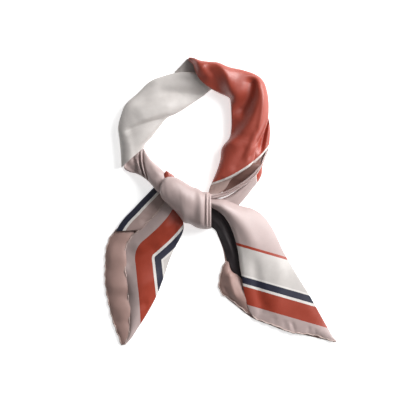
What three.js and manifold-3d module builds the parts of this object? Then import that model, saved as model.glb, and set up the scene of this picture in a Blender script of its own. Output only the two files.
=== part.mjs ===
import * as THREE from "three";
import Module from "manifold-3d";

// A silk square, folded on the bias into a soft band, tied in a half knot round an open
// loop and laid flat with its two corners spread. Millimetres, +Z up, resting on z = 0,
// with the origin on the floor under the middle of the outline.
// Each stretch of cloth that shows is one closed solid. Stretches of the folded band are
// rolls, which hold their hidden layers; the corners are sheets with hemmed edges.

const WALL = 1.4; // one layer of cloth with the air it holds
const GAP = 0.35; // daylight between two stretches
const HEM = 1.2; // radius of the rolled hem
const LINE = 1; // depth of the line between two layers near the top of a roll
const FOLD_STEPS = 12; // straight lengths in a fold's curve
const WIDEST = 0.42; // height of a roll's widest point, as a share of its crown
const LIP = 1.8; // wall of the open mouth at the end of the ivory stretch
const MOUTH_ROWS = 1.6; // how far the hollow goes in from that mouth, in rows of its table

const IVORY = 0xd9d5d2;
const BLUSH = 0xc9b7b4;
const RUST = 0xb4523f;
const SHADE = 0x8d8683;
const NIGHT = 0x2b2a35;

const wasm = await Module();
wasm.setup();

// A table of rows under named columns.
const table = (columns, rows) =>
  rows.map((row) => Object.fromEntries(columns.map((name, i) => [name, row[i]])));

// A roll's row: plan edges a and b, height of the crown and of the underside.
const ROLL = ["ax", "ay", "bx", "by", "crown", "under"];
// A sheet's row: plan edges a and b, height of the underside at each, and the rise between.
const SHEET = ["ax", "ay", "bx", "by", "lowA", "lowB", "billow"];
// A fold's row: a curve in plan from x0, y0 past x1, y1 to x2, y2, its rise (a trough has
// a negative one) and how far it fades to its left and to its right.
const FOLD = ["x0", "y0", "x1", "y1", "x2", "y2", "rise", "left", "right"];

// The side of a roll below its widest point: two layers with a line between them, tucked
// in at the floor. down is the share of the way to the floor, inset is in millimetres.
const SIDE = table(["down", "inset"], [
  [0.3, 0.2],
  [0.5, 1.5],
  [0.66, 0.5],
  [1, 3.2],
]);

// From the open mouth at the lower left round to the top.
const LOOP_LEFT = table(ROLL, [
  [-119.5, 40.5, -92, 64.5, 15, 0],
  [-120, 55, -89.5, 70, 17, 0],
  [-121.5, 72, -82, 78, 20, 0],
  [-123.3, 88, -73, 90, 21, 0],
  [-120, 103, -64.5, 100, 22, 0],
  [-112, 118, -55, 104.5, 23, 0],
  [-99, 130, -46, 109.5, 23, 0],
  [-85, 143, -37, 115.5, 21.5, 0],
  [-68, 150.5, -29, 121, 20, 0],
  [-50, 154.5, -21, 126.5, 18, 0],
  [-33, 154.5, -13, 133, 15, 0],
  [-22, 150, -6, 136, 12, 0],
]);
const LOOP_LEFT_FOLDS = table(FOLD, [
  [-112, 116, -66, 152, 0, 130, -3.2, 6, 9],
  [-66, 138, -40, 136, -8, 130, -3.6, 6, 9],
  [-118, 76, -98, 96, -54, 102, -3.4, 5, 8],
  [-100, 102, -86, 118, -50, 116, 2.2, 10, 9],
]);

// The inner layer that stands up behind the ivory stretch at the top.
const LOOP_TUCK = table(SHEET, [
  [-55.5, 155, -53, 150, 3, 4, 0.5],
  [-50, 160.5, -48, 148, 4, 5, 0.5],
  [-45, 165.8, -42, 147, 6, 5, -0.5],
  [-40, 170.3, -35, 147, 9, 5, -1.5],
  [-34, 169, -29, 147, 10, 6, -2],
  [-29, 162, -25, 147, 10, 8, -1],
]);

// From the turned corner at the top, round the right side and down to the knot.
const LOOP_RIGHT = table(ROLL, [
  [-38.5, 172.8, -39.8, 169.3, 11, 0],
  [-33, 171.5, -33.8, 163.5, 14, 0],
  [-25, 168.5, -29.3, 152, 17, 0],
  [-16, 167, -22.5, 142.5, 20, 0],
  [-4, 166, -12, 134.5, 22, 0],
  [10, 160.5, -1, 129, 23, 0],
  [26, 157, 9, 123.5, 24, 0],
  [42, 151.3, 11.5, 117, 25, 0],
  [51.5, 142, 12, 108, 26, 0],
  [56, 126, 12.3, 97, 26, 0],
  [57, 110, 12, 86, 25, 0],
  [55.5, 95, 8, 73, 25, 0],
  [51, 83, 0.5, 61, 24, 0],
  [46, 73, -0.5, 49, 23, 0],
  [41, 61, -5, 37, 22, 0],
  [35, 46, -10.5, 24, 21, 0],
  [22, 36, -12.5, 19.5, 20, 0],
  [12.5, 28.5, -14, 15.5, 20, 0],
  [5, 14.5, -15.5, 11, 20, 0],
  [-8, 5, -22, 6, 20, 0],
]);
const LOOP_RIGHT_FOLDS = table(FOLD, [
  [-32, 172, -24, 158, -10, 142, 2, 6, 6],
  [-8, 174, 12, 154, 13, 110, 3.4, 9, 7],
  [-18, 164, -6, 148, 2, 122, -2.4, 6, 8],
  [34, 156, 33, 132, 18, 100, -5.6, 7, 6],
  [16, 120, 24, 98, 18, 74, -4.6, 9, 9],
  [36, 158, 69, 111, 0, 62, 4.6, 10, 5.5],
  [50, 152, 57, 96, 26, 36, 2, 5, 5],
]);

// The layer that shows outside the right fold, down to the pale hem.
const LOOP_RIGHT_UNDER = table(SHEET, [
  [57.6, 101, 48, 98, 3, 4, 2],
  [58.6, 93, 44, 89, 1, 3, 5],
  [59.2, 85, 40, 79, 0.4, 3, 6],
  [58.9, 77, 36, 69, 0.4, 3, 6],
  [57.8, 71, 33, 59, 0.4, 3, 6],
  [57, 66.4, 32, 48, 0.4, 3, 6],
]);

// The hollow layer inside the lower right turn, a narrow pleat over it and the outer wing.
const NECK_RIGHT_INNER = table(SHEET, [
  [57.2, 66, 48, 70, 0.4, 0, 0.5],
  [54.5, 55, 40, 60, 0, 0, 1.5],
  [47.5, 43, 28, 48, 0, 0, 2.5],
  [37.5, 31, 18, 38, 0, 0, 3],
  [25.5, 21, 6, 30, 0, 0, 3],
  [11.5, 12, -4, 22, 0, 0, 2.5],
  [-1, 6, -10, 14, 0, 0, 2],
]);
const NECK_RIGHT_PLEAT = table(ROLL, [
  [51.8, 53, 50.4, 55, 9, 6],
  [48.5, 44, 44, 44, 13, 5.2],
  [42.5, 34, 37, 36, 15, 5.2],
  [34.5, 25.5, 28, 27.5, 17, 5.2],
  [25.5, 17.5, 19, 20.5, 18, 5.2],
  [15, 10.3, 9.5, 14.5, 19, 5.2],
  [5, 5.5, 1, 11, 20, 5.2],
  [-6, 3.2, -7, 9, 21, 5.2],
  [-16, 2.5, -16.5, 9, 21, 5.2],
]);
const NECK_RIGHT_PLEAT_FOLDS = table(FOLD, [
  [50, 50, 26, 17, -16, 4.6, -2.6, 1.6, 1.6],
]);
const NECK_RIGHT_OUTER = table(SHEET, [
  [56.3, 65.5, 54, 60, 0, 3, 0.5],
  [53.8, 54, 48, 46, 0, 6, 1],
  [49.8, 42, 42, 37, 0, 8, 2],
  [48.6, 32, 36, 28.5, 0, 9, 3],
  [43.6, 22.5, 28.5, 21, 0, 9, 4],
  [37, 14.5, 19.5, 13.5, 0, 10, 4],
  [30.5, 6, 9.5, 7, 0, 10, 4],
  [24, -1.5, 1, 3.5, 0, 11, 4],
  [18, -7, -6, 1.5, 0, 11, 3],
  [6, -8, -16, 0, 0, 11, 2],
]);

// The wrap of the knot, from its left edge to the pleats at its right end.
const KNOT = table(ROLL, [
  [-72.3, 15, -72.8, 9, 19, 0],
  [-70.6, 22, -70, 3, 26, 0],
  [-66, 28, -64, -3, 30, 0],
  [-60, 29.6, -57, -9.5, 32.5, 0],
  [-52, 28, -50, -17.5, 33.5, 0],
  [-43, 22.7, -44.5, -25, 33.5, 0],
  [-35, 18, -37, -27, 32.5, 0],
  [-27.5, 15.3, -29, -31.5, 31.5, 0],
  [-22, 11.5, -22, -33, 31, 0],
  [-16, 11.3, -16, -33, 30, 0],
  [-12.6, 9, -12.8, -32.5, 28.5, 0],
  [-11.6, 6, -11.9, -29, 26, 0],
]);
const KNOT_FOLDS = table(FOLD, [
  [-15.2, 22, -15.8, -10, -15.4, -44, -2.4, 1.3, 1.3],
  [-19, 22, -20, -10, -19.4, -44, -2.2, 1.8, 1.6],
  [-24, 22, -25.5, -10, -24, -44, 1.4, 3, 3],
  [-30, 18, -33, -6, -30, -36, -1.3, 5, 5],
  [-68, 30, -74, 8, -50, -20, -2.4, 2.4, 3],
  [-58, 24, -46, 8, -28, -4, 2, 12, 10],
]);
const KNOT_TUCK = table(SHEET, [
  [-67.8, 34, -68.5, 24, 13, 13, 0.5],
  [-65.3, 36.4, -65, 24, 15, 14, 1],
  [-61.5, 34.3, -61, 24, 15, 14, 1],
  [-57, 31.3, -56, 23, 14, 14, 0.5],
]);

// The pleated stretch from inside the mouth to the knot.
const NECK_LEFT = table(ROLL, [
  [-112, 53, -98, 68, 7, 0],
  [-116.5, 41, -92.5, 63, 8, 0],
  [-110, 35.5, -89.3, 57.5, 10.5, 0],
  [-102, 33.5, -85, 51.5, 14, 0],
  [-94, 29.5, -79.3, 45.8, 18, 0],
  [-86.5, 23.5, -74, 41, 20, 0.5],
  [-79.5, 15.5, -69.3, 37, 20.5, 5],
  [-73, 9, -65.5, 31, 20.5, 7],
  [-66, 4, -59, 25, 20.5, 8],
]);
const NECK_LEFT_FOLDS = table(FOLD, [
  [-98, 62, -99, 46, -89, 24, -5, 1.9, 1.9],
  [-93, 68, -94.5, 44, -80, 19, -4.2, 1.8, 1.8],
  [-106, 58, -104, 44, -95, 29, -3, 2, 2.2],
  [-116, 46, -108, 41, -100, 33, -3.6, 5, 4],
  [-90, 62, -83, 40, -70, 26, 1.6, 4, 4],
]);

// The left corner: a twisted turn below the knot, then a front half over a back half.
const TAIL_LEFT_TURN = table(ROLL, [
  [-72, 21, -56, 4, 10.5, 2.2],
  [-80, 17.2, -64, -1, 11.5, 2.2],
  [-88.5, 8.7, -68, -6, 12, 2.2],
  [-97.5, -0.5, -72, -12, 11.5, 2.2],
  [-106, -9.7, -77, -20, 11, 2.2],
  [-114.5, -18.2, -85, -28, 10, 2.2],
  [-121.3, -27, -93, -33, 9, 2.2],
  [-126, -35.5, -99, -34.5, 8, 2.2],
]);
const TAIL_LEFT_FRONT = table(SHEET, [
  [-60, 6, -38, -12, 9, 9, 4],
  [-68, -1, -44.8, -22, 8.5, 9, 6],
  [-75, -11, -44.5, -31, 8, 6, 7],
  [-85, -22, -47, -40, 6.5, 2.5, 8],
  [-96, -32, -52.3, -50, 4.8, 2.2, 7.5],
  [-107, -42, -57.8, -61, 3, 2.2, 7],
  [-114, -54, -62.7, -73, 3, 2.2, 6.5],
  [-116.3, -67, -66.8, -86, 3.2, 2.2, 6],
  [-115, -82, -71.3, -98, 3.4, 2.2, 5.5],
  [-113.3, -98, -76.3, -111, 3.2, 2.2, 5],
  [-111.6, -114, -83.3, -125, 3, 2.2, 4.5],
  [-110.4, -130, -90.8, -138, 2.8, 2.2, 4],
  [-109.8, -145, -99.8, -152, 2.6, 2.2, 3],
  [-111, -160, -107.6, -164, 2.4, 2.2, 1.5],
  [-116.2, -171.6, -115.4, -172.6, 2.2, 2.2, 0.5],
]);
const TAIL_LEFT_FRONT_FOLDS = table(FOLD, [
  [-110, -62, -84, -42, -52, -22, 2.4, 9, 8],
  [-118, -86, -96, -66, -78, -58, -1.8, 9, 10],
  [-116, -112, -98, -96, -66, -92, 1.6, 10, 9],
]);
const TAIL_LEFT_BACK = table(SHEET, [
  [-123, -31, -60, -32, 0, 0, 0],
  [-133, -41.5, -49.5, -43, 0, 0, 0],
  [-138.2, -58, -57, -57, 0, 0, 0],
  [-139.1, -76, -64, -72, 0, 0, 0],
  [-139.3, -92, -68, -86, 0, 0, 0],
  [-137.9, -108, -73, -100, 0, 0, 0],
  [-134.6, -124, -80, -116, 0, 0, 0],
  [-130.6, -141, -89.5, -133, 0, 0, 0],
  [-125.6, -156, -101, -151, 0, 0, 0],
  [-121.6, -167, -110.5, -165, 0, 0, 0],
  [-119.8, -172.8, -116.5, -172, 0, 0, 0],
]);
// The bare inside of the back half, which stands up in soft waves left of the front half.
const TAIL_LEFT_FLAP = table(SHEET, [
  [-121, -31, -104, -30, 1.9, 2.2, 1],
  [-131.5, -42, -107, -42, 1.9, 2, 3.5],
  [-136.6, -58, -113.5, -56, 1.9, 1.8, 4],
  [-137.7, -76, -113.8, -74, 1.9, 1.8, 4],
  [-138.2, -92, -112.5, -90, 1.9, 1.8, 4],
  [-136.3, -108, -111, -106, 1.9, 1.8, 4],
  [-133, -124, -109.8, -122, 1.9, 1.8, 3.5],
  [-129, -141, -108.8, -138, 1.9, 1.8, 3],
  [-124, -156, -109.5, -153, 1.9, 1.8, 2],
  [-120.5, -165.5, -112.5, -163, 1.9, 1.8, 1],
]);

// The right corner: the front half, the dark inner layer, a curl at its foot and the back.
const TAIL_RIGHT_FRONT = table(SHEET, [
  [-22, 3, -22, -6, 15, 15, 4],
  [-12, 3.5, -12, -7.5, 14, 15, 6],
  [0, 3.2, -1, -13.5, 11, 14, 7],
  [12, -0.8, 7, -22.5, 8.5, 13, 7],
  [24, -5.3, 13, -34, 6, 12, 7],
  [37, -8.5, 17.5, -48, 4, 11, 7],
  [49, -16, 20.5, -62, 3, 10, 7],
  [58.5, -27.5, 22.5, -78, 2.4, 9, 7],
  [66, -41, 25, -92, 2.2, 8, 6.5],
  [72.3, -55, 27.3, -108, 2.2, 6.6, 6],
  [79.3, -68.5, 32, -126, 2.2, 4, 5.5],
  [88, -83, 39, -138.5, 2.2, 2.4, 5],
  [96, -96, 51, -144, 2.2, 2.2, 4.5],
  [104, -109, 66, -149.3, 2.2, 2.2, 4],
  [112, -123, 83, -156.3, 2.2, 2.2, 3.5],
  [120, -137.5, 99, -158.6, 2.2, 2.2, 3],
  [128, -151.5, 113, -160.3, 2.2, 2.2, 2],
  [134, -162, 126, -164.8, 2.2, 2.2, 1],
  [139, -167.3, 138.3, -168.4, 2.2, 2.2, 0.3],
]);
const TAIL_RIGHT_FRONT_FOLDS = table(FOLD, [
  [-8, 0, 24, -10, 42, -62, 2.2, 8, 8],
  [44, -136, 40, -108, 46, -84, -1.6, 7, 8],
  [60, -150, 63, -142, 66, -132, -1.4, 3, 3],
  [75, -156, 76, -148, 78, -140, -1.4, 2.6, 2.6],
  [88, -160, 87, -151, 88, -144, -1.6, 2.4, 2.4],
  [99, -162, 99, -155, 100, -148, -1.2, 2.2, 2.2],
  [111, -164, 111, -157, 112, -151, -1, 2, 2],
]);
const TAIL_RIGHT_INNER = table(SHEET, [
  [-8, 0, -22, -28, 6, 4, 3],
  [0, -8, -13, -30.5, 4, 2.5, 3],
  [8, -20, -6.5, -35, 3, 2, 3],
  [15, -33, -1.5, -45, 2.5, 2, 2.5],
  [20, -48, 3.5, -57, 2.2, 2, 2],
  [24, -63, 6.5, -68.5, 2, 2, 1.5],
  [27, -78, 9, -80, 2, 2, 1],
  [31, -92, 14, -90, 2, 2, 0.5],
  [36, -104, 24, -103, 2, 2, 0.3],
]);
const TAIL_RIGHT_CURL = table(SHEET, [
  [8.2, -72.5, 5.6, -70.8, 4, 3, 0.5],
  [12, -83, 1, -81.5, 4.4, 2.5, 2.5],
  [20, -89, -1.6, -93, 4.6, 2.2, 3.5],
  [27, -97.5, -2.2, -102.5, 4.4, 2.2, 3.5],
  [31.5, -108, 1.6, -110.8, 4, 2.2, 3],
  [33, -119, 11, -117.2, 3.4, 2.2, 2],
  [34, -128, 21, -125.3, 2.6, 2.2, 0.6],
  [38.5, -137.6, 33, -134.8, 2.2, 2.2, 0.2],
]);
const TAIL_RIGHT_CURL_FOLDS = table(FOLD, [
  [11, -84, 11, -98, 22, -118, 1.8, 5, 5],
]);
const TAIL_RIGHT_BACK = table(SHEET, [
  [8, -22, -5, -38, 0, 0, 0],
  [24, -42, 3, -60, 0, 0, 0],
  [42, -50, 5, -84, 0, 0, 0],
  [64, -48, 0, -107, 0, 0, 0],
  [79, -70, 20, -126.6, 0, 0, 0],
  [90, -88, 38.5, -140.3, 0, 0, 0],
  [101, -106, 58, -148, 0, 0, 0],
  [112, -124.6, 80, -156.3, 0, 0, 0],
  [123, -144, 104, -161, 0, 0, 0],
  [134, -163, 124, -165.8, 0, 0, 0],
  [138.4, -168.3, 136.5, -168.8, 0, 0, 0],
]);

const clamp = (value, low, high) => Math.max(low, Math.min(high, value));

// The row at share u of the way along a table: a Catmull-Rom curve through its rows.
function along(rows, u) {
  const last = rows.length - 1;
  const t = clamp(u, 0, 1) * last;
  const i = Math.min(Math.floor(t), last - 1);
  const f = t - i;
  const [p, q, r, s] = [-1, 0, 1, 2].map((k) => rows[clamp(i + k, 0, last)]);
  const mixed = {};
  for (const name of Object.keys(q))
    mixed[name] =
      q[name] +
      0.5 * f * (r[name] - p[name]) +
      0.5 * f ** 2 * (2 * p[name] - 5 * q[name] + 4 * r[name] - s[name]) +
      0.5 * f ** 3 * (3 * q[name] - p[name] - 3 * r[name] + s[name]);
  return mixed;
}

// A fold's curve in plan, as points, with its row's other values.
const creased = (rows) =>
  rows.map(({ x0, y0, x1, y1, x2, y2, ...rest }) => {
    const ends = [new THREE.Vector2(x0, y0), new THREE.Vector2(x2, y2)];
    const curve = new THREE.QuadraticBezierCurve(ends[0], new THREE.Vector2(x1, y1), ends[1]);
    return { ...rest, points: curve.getPoints(FOLD_STEPS) };
  });

// Where a point in plan lies by a fold: its distance, its side and its share of the way.
function nearest(points, x, y) {
  let best = { away: Infinity };
  for (let i = 0; i + 1 < points.length; i++) {
    const [p, q] = [points[i], points[i + 1]];
    const [dx, dy] = [q.x - p.x, q.y - p.y];
    const t = clamp(((x - p.x) * dx + (y - p.y) * dy) / (dx * dx + dy * dy), 0, 1);
    const [ox, oy] = [x - p.x - t * dx, y - p.y - t * dy];
    const away = Math.hypot(ox, oy);
    if (away < best.away)
      best = { away, isLeft: dx * oy - dy * ox > 0, share: (i + t) / (points.length - 1) };
  }
  return best;
}

// How much the folds raise or lower the cloth at a point in plan. A fold is a bell across
// its curve, as wide on each side as its row says, and it fades towards both ends.
function lift(folds, x, y) {
  let sum = 0;
  for (const { points, rise, left, right } of folds) {
    const { away, isLeft, share } = nearest(points, x, y);
    const fade = THREE.MathUtils.smoothstep(Math.min(share, 1 - share), 0, 0.3);
    sum += rise * fade * Math.exp(-((away / (isLeft ? left : right)) ** 2));
  }
  return sum;
}

// The upright plane of a row's section: it starts at edge a and faces edge b.
function planeOf(row) {
  const width = Math.hypot(row.bx - row.ax, row.by - row.ay);
  const [ex, ey] = [(row.bx - row.ax) / width, (row.by - row.ay) / width];
  return { x: row.ax, y: row.ay, ex, ey, width };
}

// A closed solid lofted through sections. Each is an upright plane with a ring of points
// in it, as distance from edge a and height. A ring runs from the end of one side to the
// end of the other, so each cap is a ladder between its halves. grow moves the caps out.
function loft(sections, grow) {
  const ring = sections[0].points.length;
  const last = sections.length - 1;
  const moved = (from, to) => {
    const length = Math.hypot(from.x - to.x, from.y - to.y);
    from.x += ((from.x - to.x) * grow) / length;
    from.y += ((from.y - to.y) * grow) / length;
  };
  moved(sections[0], sections[1]);
  moved(sections[last], sections[last - 1]);

  const positions = [];
  for (const { x, y, ex, ey, points } of sections)
    for (const [l, z] of points) positions.push(x + ex * l, y + ey * l, z);

  const faces = [];
  let forward = 0;
  for (let i = 0; i < last; i++) {
    const [here, next] = [sections[i], sections[i + 1]];
    forward += (next.x - here.x) * here.ey - (next.y - here.y) * here.ex;
    for (let j = 0; j < ring; j++) {
      const [a, b] = [i * ring + j, i * ring + ((j + 1) % ring)];
      faces.push(a, b, b + ring, a, b + ring, a + ring);
    }
  }
  const end = last * ring;
  for (let j = 0, k = ring - 1; j + 1 < k; j++, k--) {
    faces.push(k, j + 1, j, end + j, end + j + 1, end + k);
    if (j + 2 < k) faces.push(k, k - 1, j + 1, end + j + 1, end + k - 1, end + k);
  }
  if (forward < 0) faces.reverse();
  const geometry = new THREE.BufferGeometry();
  geometry.setAttribute("position", new THREE.Float32BufferAttribute(positions, 3));
  geometry.setIndex(faces);
  return geometry;
}

// A roll: a crowned top with the folds, sides of stacked layers with a line between them,
// and a flat underside. lean moves the crown off the middle, towards edge a where it is
// negative, and grow moves every face out, for cutting a neighbour.
function roll({ rows, steps, across, folds = [], lean = 0 }, grow = 0) {
  const sections = [];
  const skew = Math.log(0.5) / Math.log((1 + lean) / 2);
  const lowest = Math.min(...rows.map((row) => row.under));
  for (let i = 0; i <= steps; i++) {
    const row = along(rows, i / steps);
    const plane = planeOf(row);
    const under = Math.max(row.under, lowest);
    const tall = row.crown - under;
    const rim = under + tall * WIDEST;
    const drawn = Math.min(1, plane.width / 20, tall / 14);
    const side = SIDE.map(({ down, inset }) => [
      inset * drawn - grow,
      rim + (under - rim) * down - grow * 0.5,
    ]);
    const points = [...side].reverse().map(([l, z]) => [plane.width - l, z]);
    for (let j = across - 1; j >= 0; j--) {
      const s = -Math.cos((Math.PI * j) / (across - 1));
      const isLine = j === 1 || j === across - 2;
      const half = plane.width / 2 + grow - (isLine ? LINE * drawn : 0);
      const l = plane.width / 2 + s * half;
      const q = ((1 + s) / 2) ** skew;
      const dome = clamp(4 * q * (1 - q), 0, 1) ** 0.4;
      const [x, y] = [plane.x + plane.ex * l, plane.y + plane.ey * l];
      const raised = j > 0 && j < across - 1 ? lift(folds, x, y) * (1 - s ** 6) : 0;
      points.push([l, Math.max(rim + (row.crown - rim) * dome + raised, rim) + grow]);
    }
    sections.push({ ...plane, points: [...points, ...side] });
  }
  return loft(sections, grow);
}

// A sheet: one layer of cloth on a surface that rises from its two edges, thickened along
// its own normal in the section. hems names the edges, a or b, that are rolled.
function sheet({ rows, steps, across, folds = [], hems = "", fullness = 1 }, grow = 0) {
  const sections = [];
  for (let i = 0; i <= steps; i++) {
    const row = along(rows, i / steps);
    const plane = planeOf(row);
    const { width } = plane;
    const bead = Math.min(HEM, width / 8);
    const lateral = [0, bead];
    for (let j = 0; j <= across; j++)
      lateral.push(2 * bead + ((width - 4 * bead) * j) / across);
    lateral.push(width - bead, width);
    const heights = lateral.map((l) => {
      const s = l / width;
      const low = row.lowA + (row.lowB - row.lowA) * s;
      const arch = row.billow * Math.max(0, 4 * s * (1 - s)) ** fullness;
      const raised = lift(folds, plane.x + plane.ex * l, plane.y + plane.ey * l);
      const free = low + arch + raised * (1 - (2 * s - 1) ** 6);
      return Math.max(free, Math.min(row.lowA, row.lowB)) + WALL / 2;
    });
    const top = [];
    const bottom = [];
    lateral.forEach((l, j) => {
      const before = Math.max(j - 1, 0);
      const after = Math.min(j + 1, lateral.length - 1);
      const slope = [lateral[after] - lateral[before], heights[after] - heights[before]];
      const run = Math.hypot(...slope);
      const [nl, nz] = [-slope[1] / run, slope[0] / run];
      const isA = l < width / 2;
      const fromEdge = Math.min(l, width - l) / bead;
      const full = hems.includes(isA ? "a" : "b") ? bead : WALL / 2;
      const thick = fromEdge < 0.5 ? 0.35 * full : fromEdge < 1.5 ? full : WALL / 2;
      const out = fromEdge < 0.5 ? (isA ? -grow : grow) : 0;
      const down = Math.min(thick, WALL / 2) + grow;
      top.push([l + nl * (thick + grow) + out, heights[j] + nz * (thick + grow)]);
      bottom.push([l - nl * down + out, heights[j] - nz * down]);
    });
    sections.push({ ...plane, points: [...top.reverse(), ...bottom] });
  }
  return loft(sections, grow);
}

// The stretches, each with how finely it is divided along and across, and the ones that it
// gives way to, so that no two share any space.
const STRETCHES = {
  knot: { make: roll, rows: KNOT, steps: 24, across: 15, folds: KNOT_FOLDS },
  loop_right: {
    make: roll,
    rows: LOOP_RIGHT,
    steps: 40,
    across: 15,
    lean: -0.3,
    folds: LOOP_RIGHT_FOLDS,
    yields: ["knot"],
  },
  loop_left: {
    make: roll,
    rows: LOOP_LEFT,
    steps: 22,
    across: 13,
    folds: LOOP_LEFT_FOLDS,
    yields: ["loop_right"],
  },
  loop_tuck: {
    make: sheet,
    rows: LOOP_TUCK,
    steps: 6,
    across: 3,
    yields: ["loop_right", "loop_left"],
  },
  loop_right_under: {
    make: sheet,
    rows: LOOP_RIGHT_UNDER,
    steps: 8,
    across: 6,
    fullness: 0.5,
    yields: ["loop_right"],
  },
  neck_left: {
    make: roll,
    rows: NECK_LEFT,
    steps: 22,
    across: 17,
    folds: NECK_LEFT_FOLDS,
    yields: ["knot", "loop_left"],
  },
  neck_right_inner: {
    make: sheet,
    rows: NECK_RIGHT_INNER,
    steps: 10,
    across: 4,
    yields: ["loop_right", "loop_right_under", "knot"],
  },
  tail_right_front: {
    make: sheet,
    rows: TAIL_RIGHT_FRONT,
    steps: 25,
    across: 8,
    folds: TAIL_RIGHT_FRONT_FOLDS,
    hems: "b",
    fullness: 0.7,
    yields: ["knot"],
  },
  neck_right_pleat: {
    make: roll,
    rows: NECK_RIGHT_PLEAT,
    steps: 12,
    across: 9,
    folds: NECK_RIGHT_PLEAT_FOLDS,
    yields: ["loop_right", "knot", "neck_right_inner", "tail_right_front"],
  },
  neck_right_outer: {
    make: sheet,
    rows: NECK_RIGHT_OUTER,
    steps: 10,
    across: 5,
    fullness: 0.8,
    yields: ["loop_right", "knot", "neck_right_pleat", "neck_right_inner", "tail_right_front"],
  },
  knot_tuck: {
    make: sheet,
    rows: KNOT_TUCK,
    steps: 5,
    across: 2,
    yields: ["knot", "neck_left"],
  },
  tail_left_front: {
    make: sheet,
    rows: TAIL_LEFT_FRONT,
    steps: 19,
    across: 7,
    folds: TAIL_LEFT_FRONT_FOLDS,
    hems: "a",
    yields: ["knot"],
  },
  tail_left_turn: {
    make: roll,
    rows: TAIL_LEFT_TURN,
    steps: 9,
    across: 9,
    yields: ["knot", "neck_left", "tail_left_front"],
  },
  tail_left_flap: {
    make: sheet,
    rows: TAIL_LEFT_FLAP,
    steps: 11,
    across: 4,
    yields: ["tail_left_turn", "tail_left_front"],
  },
  tail_left_back: {
    make: sheet,
    rows: TAIL_LEFT_BACK,
    steps: 12,
    across: 3,
    hems: "a",
    yields: ["knot", "tail_left_flap", "tail_left_turn", "tail_left_front"],
  },
  tail_right_curl: {
    make: sheet,
    rows: TAIL_RIGHT_CURL,
    steps: 10,
    across: 5,
    folds: TAIL_RIGHT_CURL_FOLDS,
    yields: ["tail_right_front"],
  },
  tail_right_inner: {
    make: sheet,
    rows: TAIL_RIGHT_INNER,
    steps: 10,
    across: 4,
    yields: ["knot", "tail_right_front", "tail_right_curl", "neck_right_outer"],
  },
  tail_right_back: {
    make: sheet,
    rows: TAIL_RIGHT_BACK,
    steps: 14,
    across: 3,
    hems: "b",
    yields: [
      "knot",
      "tail_right_front",
      "tail_right_curl",
      "tail_right_inner",
      "neck_right_outer",
    ],
  },
};

// A geometry as a solid that can be cut.
function solidOf(geometry) {
  const vertProperties = geometry.attributes.position.array;
  const triVerts = new Uint32Array(geometry.index.array);
  return new wasm.Manifold(new wasm.Mesh({ numProp: 3, vertProperties, triVerts }));
}

// The hollow behind the ivory mouth: the start of that roll, drawn in by the lip.
function mouthHollow(grow) {
  const inset = LIP + grow;
  const first = LOOP_LEFT[0];
  const rows = [-0.25, 0, 0.5, 1].map((share) => {
    const row = along(LOOP_LEFT, (Math.max(share, 0) * MOUTH_ROWS) / (LOOP_LEFT.length - 1));
    const { ex, ey } = planeOf(row);
    const out = share < 0 ? planeOf(first).width / 8 : 0;
    return {
      ax: row.ax + ex * inset + ey * out,
      ay: row.ay + ey * inset - ex * out,
      bx: row.bx - ex * inset + ey * out,
      by: row.by - ey * inset - ex * out,
      crown: row.crown - inset,
      under: -4,
    };
  });
  return solidOf(roll({ rows, steps: 6, across: 11 }));
}

// A stretch before it gives way to any other, plain or grown by the gap.
function whole(name, grow) {
  const { make, folds, ...rest } = STRETCHES[name];
  const solid = solidOf(make({ ...rest, folds: creased(folds ?? []) }, grow));
  return name === "loop_left" ? solid.subtract(mouthHollow(grow)) : solid;
}

// The largest body left of a stretch once those that it yields to are cut away.
function finished(name, grown) {
  let rest = whole(name, 0);
  for (const other of STRETCHES[name].yields ?? []) rest = rest.subtract(grown[other]);
  return rest.decompose().sort((a, b) => b.volume() - a.volume())[0];
}

const silk = (color) =>
  new THREE.MeshStandardMaterial({ color, roughness: 0.45, metalness: 0 });
const COLOURS = {
  loop_left: IVORY,
  loop_tuck: SHADE,
  loop_right: RUST,
  loop_right_under: RUST,
  neck_right_inner: SHADE,
  knot_tuck: RUST,
  tail_right_inner: NIGHT,
};

// A named mesh of a finished solid.
function meshOf(name, solid) {
  const { numProp, numVert, vertProperties, triVerts } = solid.getMesh();
  const positions = [];
  for (let i = 0; i < numVert; i++)
    positions.push(...vertProperties.subarray(i * numProp, i * numProp + 3));
  const geometry = new THREE.BufferGeometry();
  geometry.setAttribute("position", new THREE.Float32BufferAttribute(positions, 3));
  geometry.setIndex([...triVerts]);
  geometry.computeVertexNormals();
  const mesh = new THREE.Mesh(geometry, silk(COLOURS[name] ?? BLUSH));
  mesh.name = name;
  return mesh;
}

const scarf = new THREE.Group();
const names = Object.keys(STRETCHES);
const grown = Object.fromEntries(names.map((name) => [name, whole(name, GAP)]));
for (const name of names) scarf.add(meshOf(name, finished(name, grown)));

export default scarf;
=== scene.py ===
import math

import bpy
import numpy as np
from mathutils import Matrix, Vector


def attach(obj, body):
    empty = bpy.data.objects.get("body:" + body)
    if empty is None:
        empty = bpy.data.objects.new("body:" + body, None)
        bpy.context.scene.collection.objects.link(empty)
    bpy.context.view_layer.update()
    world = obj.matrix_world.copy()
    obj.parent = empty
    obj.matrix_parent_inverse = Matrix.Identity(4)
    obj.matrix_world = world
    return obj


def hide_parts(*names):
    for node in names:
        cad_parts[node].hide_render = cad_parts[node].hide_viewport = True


# A silk square folded on the bias into a soft band, knotted once round an open loop and
# laid flat. Tables are in millimetres in the frame of the part, meshes in metres.

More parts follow.
